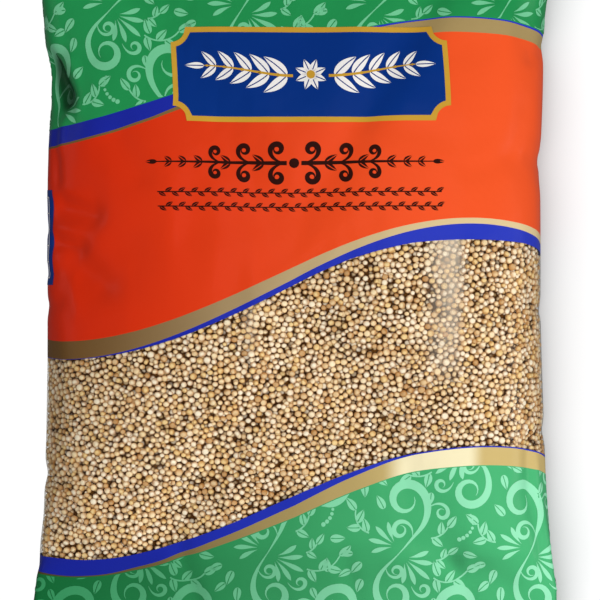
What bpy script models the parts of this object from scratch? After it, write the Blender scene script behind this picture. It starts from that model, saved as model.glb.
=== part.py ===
"""A sealed film bag of white quinoa, 500 g, lying on its back with the printed front up.

Metres, +Z up, +Y towards the top of the print, +X to its right. The origin is under the middle of the bag,
on the surface that it lies on. The bag is one tube of film with a welded, crimped seal across each end and a
long seam down the back. The rows of the mesh follow the printed stripes, so each field of print is whole faces.
"""

from math import cos, exp, hypot, pi, sin

import bmesh
import bpy

for old in list(bpy.data.objects):
    bpy.data.objects.remove(old)

MM = 0.001

# The film, laid flat
FLAT_WIDTH = 150 * MM
BODY_LENGTH = 208 * MM
SEAL_DEPTH = 11 * MM
SEAL_THICKNESS = 0.7 * MM
HALF_FLAT = FLAT_WIDTH / 2
HALF_BODY = BODY_LENGTH / 2

# The filled bag: it draws in across the middle, domes on top and lies flat underneath
HALF_WAIST = 68.4 * MM
DOME_HEIGHT = 22.2 * MM
EDGE_HEIGHT = 12.5 * MM
PRESSED_FLAT = 0.7 * MM
DOME_ROUNDNESS = 2.25
UNDERSIDE_ROUNDNESS = 3.4
DOME_FALL = 2.5
WAIST_FALL = 3.0
LIFT_STARTS = 0.74

# The end seals: their height over the table, their droop and ripple, and the crimp pressed into them
SEAL_HEIGHT = 7.5 * MM
SEAL_DROOP = 2.0 * MM
SEAL_RIPPLE = 0.8 * MM
RIPPLE_LENGTH = 96 * MM
TOP_RIPPLE_START = 0.6
BOTTOM_RIPPLE_START = 2.4
CRIMP_ROWS = 8
CRIMP_DEPTH = 0.3 * MM

# The seam down the back lies flat between two shallow grooves
SEAM_SIDES = (-2 * MM, 9 * MM)
SEAM_GROOVE = 0.5 * MM
GROOVE_WIDTH = 1.6 * MM

# Folds that fan out from the seals: place across, half width, length, share of the dome that they take
TOP_FOLDS = [
    (-57 * MM, 7 * MM, 26 * MM, 0.42),
    (-24 * MM, 8 * MM, 15 * MM, 0.28),
    (14 * MM, 8 * MM, 18 * MM, 0.30),
    (55 * MM, 7 * MM, 24 * MM, 0.40),
]
BOTTOM_FOLDS = [
    (-55 * MM, 7 * MM, 20 * MM, 0.40),
    (-12 * MM, 8 * MM, 15 * MM, 0.30),
    (30 * MM, 8 * MM, 17 * MM, 0.26),
    (57 * MM, 6 * MM, 24 * MM, 0.42),
]
FOLD_FAN = 0.25

# Dents pushed into the sides: place across, place along, half width, half length, depth
DENTS = [
    (-65 * MM, 46 * MM, 5 * MM, 9 * MM, 1.8 * MM),
    (-62 * MM, 12 * MM, 5 * MM, 6 * MM, 1.1 * MM),
    (-60 * MM, -4 * MM, 6 * MM, 7 * MM, 0.8 * MM),
    (68 * MM, 27 * MM, 5 * MM, 6 * MM, 0.8 * MM),
    (-66 * MM, -72 * MM, 5 * MM, 8 * MM, 0.8 * MM),
    (66 * MM, -66 * MM, 5 * MM, 9 * MM, 0.8 * MM),
    (66 * MM, 66 * MM, 5 * MM, 10 * MM, 1.0 * MM),
]
DENT_TILT = 2.5
DENT_DROP = 0.8

# The printed stripes, as heights over the middle of the bag. Each follows one long wave that is lowest at the
# left of the front and highest at the right: middle height, half swing, where it is lowest and highest.
TOP_STRIPE = (51.9 * MM, 16.0 * MM, -85 * MM, 46 * MM)
MIDDLE_STRIPE = (-5.6 * MM, 17.2 * MM, -66 * MM, 49 * MM)
BOTTOM_STRIPE = (-67.9 * MM, 16.1 * MM, -62 * MM, 54 * MM)
LEAST_STRIPE = 0.45 * MM

# Each field of print from the top seal down: its material and how many rows of faces it takes
FIELDS = [
    ("green_film", 11),
    ("blue_film", 1),
    ("gold_film", 1),
    ("orange_film", 9),
    ("gold_film", 1),
    ("blue_film", 1),
    ("window_film", 10),
    ("blue_film", 1),
    ("gold_film", 1),
    ("green_film", 7),
]
ROWS_CROWD_TO_SEAL = 1.35

# The mesh round the bag
FRONT_COLUMNS = 44
BACK_COLUMNS = 26

# Film: base colour and roughness
FILMS = {
    "green_film": ((0.03, 0.32, 0.12, 1), 0.32),
    "blue_film": ((0.03, 0.04, 0.42, 1), 0.32),
    "gold_film": ((0.45, 0.30, 0.10, 1), 0.35),
    "orange_film": ((0.78, 0.09, 0.02, 1), 0.32),
    "window_film": ((0.48, 0.33, 0.17, 1), 0.45),
}


def share_along(y):
    """0 across the middle of the bag, 1 at the seals."""
    return min(abs(y) / HALF_BODY, 1.0)


def half_width(y):
    return HALF_WAIST + (HALF_FLAT - HALF_WAIST) * share_along(y) ** WAIST_FALL


def end_ease(y):
    """0 where the underside lies flat, rising to 1 at the seals, where the film lifts off the table."""
    t = max(0.0, (share_along(y) - LIFT_STARTS) / (1 - LIFT_STARTS))
    return t * t * (3 - 2 * t)


def seal_height(x, y):
    """Height of the middle of an end seal: it droops to its cut edge and ripples along its length."""
    out = max(0.0, abs(y) - HALF_BODY) / SEAL_DEPTH
    start = TOP_RIPPLE_START if y > 0 else BOTTOM_RIPPLE_START
    return SEAL_HEIGHT - SEAL_DROOP * out + SEAL_RIPPLE * sin(2 * pi * x / RIPPLE_LENGTH + start)


def edge_height(x, y):
    """Height of the bag's side edges, which run out into the seals."""
    return EDGE_HEIGHT + (seal_height(x, y) - EDGE_HEIGHT) * end_ease(y)


def fold_share(x, y):
    """How much of the dome the folds at the nearer seal leave."""
    inside = max(0.0, HALF_BODY - abs(y))
    left = 1.0
    for place, width, length, depth in TOP_FOLDS if y > 0 else BOTTOM_FOLDS:
        across = (x - place * (1 - FOLD_FAN * inside / length)) / width
        left -= depth * exp(-across * across - inside / length)
    return left


def groove(x):
    """Depth of the grooves beside the back seam."""
    return max(SEAM_GROOVE * max(0.0, 1 - abs(x - side) / GROOVE_WIDTH) for side in SEAM_SIDES)


def superellipse(angle, roundness):
    """(across, up) on a unit superellipse, for an angle from the right side over the top."""
    c, s = cos(angle), sin(angle)
    across = abs(c) ** (2 / roundness) * (1 if c >= 0 else -1)
    up = abs(s) ** (2 / roundness) * (1 if s >= 0 else -1)
    return across, up


def seal_skin(across, front, y):
    """A point on an end seal, whose crimp is straight grooves across the bag."""
    x = across * half_width(y)
    row = round((abs(y) - HALF_BODY) / SEAL_DEPTH * CRIMP_ROWS)
    crimp = 0.0
    if 0 < row < CRIMP_ROWS:
        crimp = CRIMP_DEPTH if row % 2 else -CRIMP_DEPTH
    at_side = abs(across) > 0.9999
    half_thickness = 0.0 if at_side else SEAL_THICKNESS / 2
    return x, y, edge_height(x, y) + crimp + (half_thickness if front else -half_thickness)


def body_skin(across, up, front, y):
    """A point on the filled body, before any dent."""
    x = across * half_width(y)
    edge = edge_height(x, y)
    least = up * SEAL_THICKNESS / 2
    if front:
        dome = DOME_HEIGHT * (1 - share_along(y) ** DOME_FALL)
        return x, y, edge + max(least, dome * up * fold_share(x, y))
    lift = end_ease(y)
    floor = seal_height(x, y) * lift - PRESSED_FLAT * (1 - lift)
    z = max(0.0, edge + min(least, (edge - floor) * up))
    return x, y, z + groove(x) * (1 - lift)


def pushed_in(x, y, z, front):
    """The same point after the dents have pushed it towards the middle of the bag."""
    above = z - edge_height(x, y)
    for place, along, width, length, depth in DENTS:
        near = exp(-(((x - place) / width) ** 2) - ((y - along) / length) ** 2)
        reach = hypot(x, above * DENT_TILT) or 1.0
        x -= depth * near * x / reach
        if front:
            z -= depth * near * DENT_DROP * above / reach
    return x, y, z


def on_bag(angle, y):
    """The point of the bag's skin at this angle round its section, at this place along it."""
    front = sin(angle) >= 0
    across, up = superellipse(angle, DOME_ROUNDNESS if front else UNDERSIDE_ROUNDNESS)
    if abs(y) >= HALF_BODY:
        return seal_skin(across, front, y)
    x, y, z = body_skin(across, up, front, y)
    return pushed_in(x, y, z, front)


def wave(s, low_at, high_at):
    """1 where a stripe is lowest, -1 where it is highest, at a place s round the bag from the front's middle.

    It is a cosine across the front, and a cubic across the back that joins its two ends smoothly.
    """
    rate = pi / (high_at - low_at)
    if abs(s) <= HALF_FLAT:
        return cos(rate * (s - low_at))
    t = ((s - HALF_FLAT) if s > 0 else (s + 3 * HALF_FLAT)) / FLAT_WIDTH
    start = cos(rate * (HALF_FLAT - low_at))
    finish = cos(rate * (-HALF_FLAT - low_at))
    slope_start = -rate * sin(rate * (HALF_FLAT - low_at)) * FLAT_WIDTH
    slope_finish = -rate * sin(rate * (-HALF_FLAT - low_at)) * FLAT_WIDTH
    return (
        (2 * t**3 - 3 * t**2 + 1) * start
        + (t**3 - 2 * t**2 + t) * slope_start
        + (3 * t**2 - 2 * t**3) * finish
        + (t**3 - t**2) * slope_finish
    )


def stripe(s, shape, first_width, second_width):
    """A stripe's three lines at s: its top line and those under its first and second colours.

    Each width is (middle, swing) in millimetres, and the swing follows the stripe's own wave.
    """
    height, swing, low_at, high_at = shape
    level = wave(s, low_at, high_at)
    lines = [height - swing * level]
    for middle, change in (first_width, second_width):
        lines.append(lines[-1] - max(LEAST_STRIPE, (middle + change * level) * MM))
    return lines


def stripe_lines(s):
    """Heights of the nine lines between the fields of print at s, from the top of the bag down."""
    top = stripe(s, TOP_STRIPE, (2.7, 2.4), (2.5, -1.8))
    middle = stripe(s, MIDDLE_STRIPE, (3.2, 1.8), (1.5, -2.6))
    bottom = stripe(s, BOTTOM_STRIPE, (2.4, 2.2), (2.8, -2.6))
    return top + middle + bottom


def rows_at(s):
    """(height along the bag, material) of every row of vertices at s. The material is that of the faces below."""
    rows = []
    for i in range(CRIMP_ROWS):
        rows.append((HALF_BODY + SEAL_DEPTH * (1 - i / CRIMP_ROWS), "green_film"))
    lines = [HALF_BODY] + stripe_lines(s) + [-HALF_BODY]
    for (name, count), high, low in zip(FIELDS, lines, lines[1:]):
        for i in range(count):
            share = i / count
            if high == HALF_BODY:
                share = share**ROWS_CROWD_TO_SEAL
            if low == -HALF_BODY:
                share = 1 - (1 - share) ** ROWS_CROWD_TO_SEAL
            rows.append((high + (low - high) * share, name))
    for i in range(CRIMP_ROWS + 1):
        rows.append((-HALF_BODY - SEAL_DEPTH * i / CRIMP_ROWS, "green_film"))
    return rows


def ring_angles():
    """Angles round the section, from the right edge over the front to the left edge and back underneath."""
    front = [pi * i / FRONT_COLUMNS for i in range(FRONT_COLUMNS)]
    back = [pi + pi * i / BACK_COLUMNS for i in range(BACK_COLUMNS)]
    return front + back


def places_round(angles):
    """Where each angle is on the flat film: metres from the middle of the front, negative to the left."""
    points = [on_bag(angle, 0.0) for angle in angles + [2 * pi]]
    steps = [hypot(b[0] - a[0], b[2] - a[2]) for a, b in zip(points, points[1:])]
    front, back = sum(steps[:FRONT_COLUMNS]), sum(steps[FRONT_COLUMNS:])
    places = []
    s = HALF_FLAT
    for i, step in enumerate(steps):
        places.append(s if s >= -FLAT_WIDTH else s + 2 * FLAT_WIDTH)
        s -= step * FLAT_WIDTH / (front if i < FRONT_COLUMNS else back)
    return places


def film_material(name):
    colour, roughness = FILMS[name]
    material = bpy.data.materials.new(name)
    material.use_nodes = True
    shader = material.node_tree.nodes["Principled BSDF"]
    shader.inputs["Base Color"].default_value = colour
    shader.inputs["Roughness"].default_value = roughness
    material.diffuse_color = colour
    return material


def skin(bm, angles, names):
    """The film all round, from the top seal's cut edge to the bottom one's. Gives back its columns of vertices."""
    columns = [rows_at(s) for s in places_round(angles)]
    grid = [[bm.verts.new(on_bag(a, y)) for y, _ in rows] for a, rows in zip(angles, columns)]
    for i, column in enumerate(grid):
        beside = grid[(i + 1) % len(grid)]
        for j in range(len(column) - 1):
            face = bm.faces.new((column[j], beside[j], beside[j + 1], column[j + 1]))
            face.material_index = names.index(columns[i][j][1])
            face.smooth = True
    return grid


def build_bag():
    names = list(FILMS)
    bm = bmesh.new()
    grid = skin(bm, ring_angles(), names)
    cut_edges = [bm.faces.new([column[end] for column in grid]) for end in (0, -1)]
    bmesh.ops.recalc_face_normals(bm, faces=bm.faces)
    bmesh.ops.triangulate(bm, faces=cut_edges)
    mesh = bpy.data.meshes.new("quinoa_bag")
    bm.to_mesh(mesh)
    bm.free()
    for name in names:
        mesh.materials.append(film_material(name))
    bag = bpy.data.objects.new("quinoa_bag", mesh)
    bpy.context.scene.collection.objects.link(bag)


build_bag()
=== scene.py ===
from math import pi

import bmesh
import bpy
import numpy as np
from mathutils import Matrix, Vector
from mathutils.bvhtree import BVHTree
from mathutils.kdtree import KDTree


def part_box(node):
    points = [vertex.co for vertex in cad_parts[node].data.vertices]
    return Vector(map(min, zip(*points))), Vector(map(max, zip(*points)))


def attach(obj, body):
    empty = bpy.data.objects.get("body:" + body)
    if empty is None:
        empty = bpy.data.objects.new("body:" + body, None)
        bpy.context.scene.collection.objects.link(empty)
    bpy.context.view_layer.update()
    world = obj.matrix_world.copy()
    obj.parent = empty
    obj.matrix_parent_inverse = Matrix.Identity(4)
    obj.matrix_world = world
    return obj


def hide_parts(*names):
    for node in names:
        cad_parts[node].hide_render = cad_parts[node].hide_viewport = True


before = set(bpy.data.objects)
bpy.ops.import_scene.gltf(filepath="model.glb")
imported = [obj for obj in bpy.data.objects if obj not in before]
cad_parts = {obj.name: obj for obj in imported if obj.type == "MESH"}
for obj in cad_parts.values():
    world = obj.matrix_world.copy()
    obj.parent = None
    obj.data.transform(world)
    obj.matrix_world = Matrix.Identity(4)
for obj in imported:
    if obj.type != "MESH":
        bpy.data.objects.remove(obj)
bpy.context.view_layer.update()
bpy.ops.object.select_all(action="DESELECT")

# The filled film. One web of printed laminate is wrapped into a tube, sealed down the back and crimped shut
# across both ends. With 500 g of grain in it, it domes up, draws in at the waist and puckers along its
# sides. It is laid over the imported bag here, and then settles as cloth cut to the empty tube's size.
MM = 0.001
packed_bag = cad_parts["quinoa_bag"]
bag_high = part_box("quinoa_bag")[1]
HALF_FLAT = bag_high.x
HALF_LENGTH = bag_high.y
SEAL_DEPTH = 11 * MM
HALF_BODY = HALF_LENGTH - SEAL_DEPTH
ROUND = 4 * HALF_FLAT
STEPS_ROUND = 200
STEPS_ALONG = 100
SECTION_POINTS = 121
SEAL_GAP = 0.12 * MM
INK_CLEARANCE = 0.14 * MM


def round_the_bag(steps):
    """Places at equal steps round the bag, from the middle of its back to the same line again."""
    return (np.arange(steps + 1) / steps - 0.5) * ROUND


PLACES = round_the_bag(STEPS_ROUND)[:-1]
seal_rows = [HALF_BODY + SEAL_DEPTH / 2, HALF_LENGTH]
row_heights = np.array([-h for h in reversed(seal_rows)]
                       + list(np.linspace(-HALF_BODY, HALF_BODY, STEPS_ALONG + 1)) + seal_rows)
packed_skin = BVHTree.FromObject(packed_bag, bpy.context.evaluated_depsgraph_get())


def skin_height(x, y, side):
    """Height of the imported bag's skin at (x, y), from above (side 1) or below (side -1), or None."""
    hit = packed_skin.ray_cast(Vector((x, y, side)), Vector((0, 0, -side)))[0]
    return None if hit is None else hit.z


def edge_place(y, side):
    """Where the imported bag's side edge is at y, found by halving."""
    inside, outside = 0.8 * HALF_FLAT, 1.01 * HALF_FLAT
    for _ in range(14):
        middle = (inside + outside) / 2
        if skin_height(side * middle, y, 1) is None:
            outside = middle
        else:
            inside = middle
    return side * inside


def section(y):
    """The bag's section at y as (x, z) points at equal steps round the film, from the middle of the back."""
    left, right = edge_place(y, -1), edge_place(y, 1)
    across = (left + right) / 2 + (right - left) / 2 * np.cos(np.linspace(0, pi, SECTION_POINTS))
    top = np.array([[x, skin_height(x, y, 1)] for x in across])
    under = np.array([[x, skin_height(x, y, -1)] for x in across])
    if abs(y) > HALF_BODY:
        middle = (top[:, 1] + under[:, 1]) / 2
        top[:, 1], under[:, 1] = middle + SEAL_GAP / 2, middle - SEAL_GAP / 2
    top[[0, -1]] = under[[0, -1]] = (top[[0, -1]] + under[[0, -1]]) / 2
    points = np.empty((STEPS_ROUND, 2))
    on_front = np.abs(PLACES) <= HALF_FLAT
    share = (HALF_FLAT - PLACES) / (2 * HALF_FLAT)
    back_share = np.where(PLACES > 0, PLACES - HALF_FLAT, PLACES + 3 * HALF_FLAT) / (2 * HALF_FLAT)
    for curve, chosen, at in ((top, on_front, share), (under, ~on_front, back_share)):
        gone = np.concatenate([[0], np.cumsum(np.hypot(*np.diff(curve, axis=0).T))])
        gone /= gone[-1]
        for axis in (0, 1):
            points[chosen, axis] = np.interp(at[chosen], gone, curve[:, axis])
    return points


def laid_over_the_bag():
    points = np.empty((STEPS_ROUND, len(row_heights), 3))
    for j, y in enumerate(row_heights):
        points[:, j, [0, 2]] = section(float(np.clip(y, -HALF_LENGTH + 0.01 * MM, HALF_LENGTH - 0.01 * MM)))
        points[:, j, 1] = y
    return points


def values_of(items, name, width=1, kind=int):
    """What a mesh's items hold under a name, as one flat array."""
    values = np.empty(len(items) * width, kind)
    items.foreach_get(name, values)
    return values


def points_of(mesh):
    return values_of(mesh.vertices, "co", 3, float).reshape(-1, 3)


def set_points(piece, points):
    piece.data.vertices.foreach_set("co", np.asarray(points, float).ravel())
    piece.data.update()


def give_values(piece, name, values, kind="FLOAT"):
    """Gives each point of a piece a value under a name."""
    piece.data.attributes.new(name, kind, "POINT").data.foreach_set("value", np.ravel(values))


def linked(name, data):
    """A new object in the scene."""
    made = bpy.data.objects.new(name, data)
    bpy.context.scene.collection.objects.link(made)
    return made


def added(primitive, **settings):
    """A new primitive, the only thing selected."""
    bpy.ops.object.select_all(action="DESELECT")
    primitive(**settings)
    return bpy.context.object


def flat_sheet(name, columns, rows):
    """A sheet of square faces, and the column and row that each of its vertices is in."""
    sheet = added(bpy.ops.mesh.primitive_grid_add, x_subdivisions=columns, y_subdivisions=rows, size=2)
    sheet.name = sheet.data.name = name
    flat = (points_of(sheet.data)[:, :2] + 1) / 2
    return sheet, np.rint(flat[:, 0] * columns).astype(int), np.rint(flat[:, 1] * rows).astype(int)


def edit_whole(piece, operator, **settings):
    """Runs a mesh operator on all of a piece."""
    bpy.ops.object.select_all(action="DESELECT")
    piece.select_set(True)
    bpy.context.view_layer.objects.active = piece
    bpy.ops.object.mode_set(mode="EDIT")
    bpy.ops.mesh.select_all(action="SELECT")
    operator(**settings)
    bpy.ops.object.mode_set(mode="OBJECT")


def weld(piece):
    """Merges the vertices that lie on each other."""
    edit_whole(piece, bpy.ops.mesh.remove_doubles, threshold=0.005 * MM)


FILM_SPARE = 1.034
SETTLING_FRAMES = 24
MOST_SETTLING = 4.5 * MM
FILL_SHARE = 1.02


def volume_inside(piece):
    shell = bmesh.new()
    shell.from_mesh(piece.data)
    bmesh.ops.holes_fill(shell, edges=[e for e in shell.edges if e.is_boundary])
    volume = abs(shell.calc_volume())
    shell.free()
    return volume


def settle(start):
    """The film settled from its start, as cloth under pressure that is cut to the empty tube's size. It ends
    thinner than it starts, with its underside lifted by nearly the most that a point may move."""
    tube, column, row = flat_sheet("settling_film", STEPS_ROUND, len(row_heights) - 1)
    give_values(tube, "column", column, "INT")
    give_values(tube, "row", row, "INT")
    set_points(tube, start[column % STEPS_ROUND, row])
    weld(tube)
    column, row = (values_of(tube.data.attributes[name].data, "value") for name in ("column", "row"))
    column %= STEPS_ROUND
    angle = 2 * pi * (column / STEPS_ROUND - 0.5)
    radius = ROUND / (2 * pi)
    empty = np.stack([radius * np.sin(angle), row_heights[row] * FILM_SPARE, radius * np.cos(angle)], 1)
    tube.shape_key_add(name="filled")
    empty_key = tube.shape_key_add(name="empty")
    empty_key.data.foreach_set("co", empty.ravel())
    in_seals = np.flatnonzero(np.abs(row_heights[row]) >= HALF_BODY - 0.1 * MM)
    tube.vertex_groups.new(name="sealed").add(in_seals.tolist(), 1.0, "REPLACE")

    cloth = tube.modifiers.new("settling", "CLOTH")
    film = cloth.settings
    film.quality = 7
    film.mass = 0.002
    film.air_damping = 3
    film.tension_stiffness = film.compression_stiffness = 100
    film.shear_stiffness = 60
    film.bending_stiffness = 0.15
    film.tension_damping = film.compression_damping = film.shear_damping = 5
    film.bending_damping = 0.5
    film.vertex_group_mass = "sealed"
    film.rest_shape_key = empty_key
    film.use_pressure = True
    film.uniform_pressure_force = 0
    film.use_pressure_volume = True
    film.target_volume = FILL_SHARE * volume_inside(tube)
    film.pressure_factor = 1
    cloth.collision_settings.use_self_collision = False
    cloth.collision_settings.distance_min = 1 * MM
    table = added(bpy.ops.mesh.primitive_plane_add, size=1, location=(0, 0, -1 * MM))
    table.modifiers.new("table", "COLLISION")
    table.collision.thickness_outer = 1 * MM
    table.collision.cloth_friction = 5
    scene = bpy.context.scene
    scene.gravity = (0, 0, -6)
    scene.frame_start, scene.frame_end = 1, SETTLING_FRAMES
    for number in range(1, SETTLING_FRAMES + 1):
        scene.frame_set(number)
    settled = start.copy()
    settled[column, row] = points_of(tube.evaluated_get(bpy.context.evaluated_depsgraph_get()).data)
    bpy.data.objects.remove(tube)
    bpy.data.objects.remove(table)
    move = settled - start
    far = np.linalg.norm(move, axis=2, keepdims=True) + 1e-9
    return start + move * MOST_SETTLING * np.tanh(far / MOST_SETTLING) / far


def smoothed(field, rounds):
    """A field over the film's grid with its finest ripples averaged out."""
    for _ in range(rounds):
        field = (np.roll(field, 1, 0) + 2 * field + np.roll(field, -1, 0)) / 4
        inner = (field[:, :-2] + 2 * field[:, 1:-1] + field[:, 2:]) / 4
        field = np.concatenate([field[:, :1], inner, field[:, -1:]], 1)
    return field


# Dents and creases where the film has been gripped and folded, each from one place to another round and
# along the bag, in millimetres, with its half width and its depth. A negative depth is a ridge.
CREASES = [
    (-73, 53, -69.5, 46, 4.8, 4.4), (-64.5, 56, -62.5, 43, 2.0, -0.8), (-66, 61, -58, 57, 2.4, 0.8),
    (-67.0, 40, -68.5, 32, 1.6, -0.5), (-70, 34, -69, 22, 1.8, 0.8), (-50, 34, -44, 24, 4.5, 0.9),
    (-69, 19.5, -61, 17.5, 2.0, -0.4), (-67, 15, -58, 12.5, 3.4, 1.4), (-70, 9, -64, 8, 1.8, -0.3),
    (-69, 5, -62, 3.5, 2.4, 1.2), (-63, -1, -55, -7, 4.4, 1.3), (-64, -6, -62, -14, 2.0, -0.3),
    (-78, 8.5, -72, 9.5, 1.6, 0.4), (-77, -3, -71, -4, 1.8, 0.4),
    (-76, -13, -69, -12, 2.0, 0.5), (-78, -60, -68, -62, 2.4, 0.9), (-74, -84, -62, -80, 2.8, 1.0),
    (-60, 74, -52, 66, 3.4, 0.7), (-47, 98, -43, 76, 3.0, 0.9), (-8, 99, -10, 86, 2.8, 0.7),
    (24, 99, 21, 84, 3.0, 0.8), (54, 98, 57, 76, 3.0, 0.9), (78, 28, 69, 28.5, 1.8, 0.5),
    (66, 42, 62, 30, 3.4, 0.5), (60, 28, 50, 25, 3.6, 0.4), (78, 60, 70, 57, 2.4, 0.8),
    (78, -14, 71, -13, 2.0, 0.6), (78, -48, 69, -50, 2.2, 0.7), (68, -54, 72, -88, 2.0, 0.9),
    (71.5, -58, 75.5, -92, 1.8, -0.6), (33, -79, 60, -91, 5.0, 1.3), (47, 4, 46.5, -40, 2.0, -0.35),
    (-11, -12, -13, -40, 2.2, -0.3), (-28, -98, -33, -80, 3.0, 0.9), (18, -99, 14, -84, 2.8, 0.8),
    (50, -99, 46, -84, 3.0, 0.8), (20, 40, 44, 33, 5.0, 0.4), (-30, 8, 0, 14, 6.0, 0.4),
    (120, 40, 96, 30, 4.0, 0.8), (110, -50, 92, -70, 4.0, 0.9), (-104, 50, -92, 20, 4.0, 0.8),
    (-112, -30, -94, -62, 4.0, 0.9), (132, 98, 130, 80, 3.0, 0.8), (-122, -98, -118, -82, 3.0, 0.8),
]


def pressed_in(s, y):
    """How far the dents and creases press the film in at places s round the bag and y along it, in
    millimetres. Each is deepest along its middle and faded out at its ends."""
    s, y = np.broadcast_arrays(np.asarray(s) / MM, np.asarray(y) / MM)
    inwards = np.zeros(s.shape)
    for from_s, from_y, to_s, to_y, half_width, depth in CREASES:
        length = np.hypot(to_s - from_s, to_y - from_y)
        way_s, way_y = (to_s - from_s) / length, (to_y - from_y) / length
        gone = (s - from_s) * way_s + (y - from_y) * way_y
        beyond = np.maximum(0, np.maximum(-gone, gone - length))
        aside = (s - from_s) * way_y - (y - from_y) * way_s
        inwards += depth * np.exp(-(aside / half_width) ** 2 - (beyond / (0.8 * half_width + 1)) ** 2)
    return inwards


def unit(vectors):
    """The vectors at a length of 1."""
    return vectors / (np.linalg.norm(vectors, axis=-1, keepdims=True) + 1e-12)


def creased(points):
    """The film with its dents and creases pressed in, but for its seals."""
    off_seals = np.clip((HALF_BODY - np.abs(row_heights)) / (4 * MM), 0, 1)
    inwards = pressed_in(PLACES[:, None], row_heights) * off_seals
    across = np.roll(points, -1, 0) - np.roll(points, 1, 0)
    return points - unit(np.cross(across, np.gradient(points, axis=1))) * inwards[:, :, None] * MM


film_points = laid_over_the_bag()
settled_points = settle(film_points)
film_points = film_points + smoothed(settled_points - film_points, 2)
film_points = creased(film_points)

# The back seam is a fin of two welded layers, folded down flat. The film gives way by its thickness.
SEAM_MIDDLE = 146.5 * MM
SEAM_HALF_WIDTH = 5.5 * MM
SEAM_THICKNESS = 0.36 * MM
from_seam = np.abs((PLACES[:, None] - SEAM_MIDDLE + ROUND / 2) % ROUND - ROUND / 2)
under_seam = np.clip((SEAM_HALF_WIDTH + 1.5 * MM - from_seam) / (1.5 * MM), 0, 1)
film_points[:, :, 2] = np.maximum(film_points[:, :, 2], INK_CLEARANCE)
film_points[:, :, 2] += under_seam * SEAM_THICKNESS * (np.abs(row_heights) < HALF_BODY)


def spline_weights(t):
    """Weights of four neighbouring points for a smooth curve through them, t of the way from the second."""
    return 0.5 * np.stack([
        -t**3 + 2 * t**2 - t, 3 * t**3 - 5 * t**2 + 2, -3 * t**3 + 4 * t**2 + t, t**3 - t**2])


def on_film(s, y, lift=0.0):
    """Points on the film, or lifted off it, at s round the bag from the front's middle, and y along it."""
    s, y = np.broadcast_arrays(np.asarray(s, float), np.asarray(y, float))
    column = (s / ROUND + 0.5) * STEPS_ROUND
    row = np.interp(y, row_heights, np.arange(len(row_heights)))
    i = np.floor(column).astype(int)
    j = np.clip(np.floor(row).astype(int), 0, len(row_heights) - 2)
    round_weights, along_weights = spline_weights(column - i), spline_weights(row - j)
    points = np.zeros(s.shape + (3,))
    for m in range(4):
        for n in range(4):
            corner = film_points[(i + m - 1) % STEPS_ROUND, np.clip(j + n - 1, 0, len(row_heights) - 1)]
            points += (round_weights[m] * along_weights[n])[..., None] * corner
    if np.any(lift):
        points += np.asarray(lift)[..., None] * film_normal(s, y)
    return points


def film_normal(s, y):
    step = 0.4 * MM
    across = on_film(s + step, y) - on_film(s - step, y)
    along = on_film(s, y + step) - on_film(s, y - step)
    return unit(np.cross(across, along))


# The print. Broad stripes follow one long wave round the bag, low at the left of the front and high at the
# right: green, a blue and gold line, orange, a gold and blue line, clear window, blue and gold line, green.
TOP_STRIPE = (51.9 * MM, 16.0 * MM, -85 * MM, 46 * MM)
MIDDLE_STRIPE = (-5.6 * MM, 17.2 * MM, -66 * MM, 49 * MM)
BOTTOM_STRIPE = (-67.9 * MM, 16.1 * MM, -62 * MM, 54 * MM)


def wave(s, low_at, high_at):
    """1 where a stripe is lowest and -1 where it is highest: a cosine in front, joined smoothly behind."""
    rate = pi / (high_at - low_at)
    s = (np.asarray(s, float) + ROUND / 2) % ROUND - ROUND / 2
    t = np.where(s > 0, s - HALF_FLAT, s + 3 * HALF_FLAT) / (2 * HALF_FLAT)
    start, finish = np.cos(rate * (HALF_FLAT - low_at)), np.cos(rate * (-HALF_FLAT - low_at))
    slope_start = -rate * np.sin(rate * (HALF_FLAT - low_at)) * 2 * HALF_FLAT
    slope_finish = -rate * np.sin(rate * (-HALF_FLAT - low_at)) * 2 * HALF_FLAT
    back = ((2 * t**3 - 3 * t**2 + 1) * start + (t**3 - 2 * t**2 + t) * slope_start
            + (3 * t**2 - 2 * t**3) * finish + (t**3 - t**2) * slope_finish)
    return np.where(np.abs(s) <= HALF_FLAT, np.cos(rate * (s - low_at)), back)


TOP_BLUE = ((0, 4.9), (0.26, 4.5), (0.6, 1.5), (1, 0.35))
TOP_GOLD = ((0, 0.6), (0.26, 0.8), (0.6, 2.2), (1, 4.0))
MIDDLE_GOLD = ((0, 5.0), (0.2, 4.5), (0.6, 3.4), (0.85, 2.3), (1, 1.6))
MIDDLE_BLUE = ((0, 0.1), (0.07, 0.5), (0.2, 1.1), (0.4, 1.6), (0.6, 1.7), (0.8, 2.1), (0.95, 3.4), (1, 4.4))
BOTTOM_BLUE = ((0, 4.6), (0.13, 3.2), (0.25, 2.8), (0.55, 2.7), (0.8, 1.2), (0.93, 0.4), (1, 0.35))
BOTTOM_GOLD = ((0, 0.3), (0.05, 0.8), (0.25, 1.9), (0.55, 3.2), (0.8, 4.3), (1, 5.0))


def stripe(s, shape, *widths):
    """A stripe's lines: its top, and the lower edge of each of its colours. The width of a colour is given
    in millimetres at shares of the wave's rise, from 0 at its low end to 1 at its high end."""
    height, swing, low_at, high_at = shape
    level = wave(s, low_at, high_at)
    rise = np.clip((1 - level) / 2, 0, 1)
    lines = [height - swing * level]
    for width in widths:
        lines.append(lines[-1] - np.interp(rise, *zip(*width)) * MM)
    return lines


def stripe_lines(s):
    return (stripe(s, TOP_STRIPE, TOP_BLUE, TOP_GOLD) + stripe(s, MIDDLE_STRIPE, MIDDLE_GOLD, MIDDLE_BLUE)
            + stripe(s, BOTTOM_STRIPE, BOTTOM_BLUE, BOTTOM_GOLD))


def window_top(s):
    return stripe_lines(s)[5]


def window_bottom(s):
    return stripe_lines(s)[6]


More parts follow.
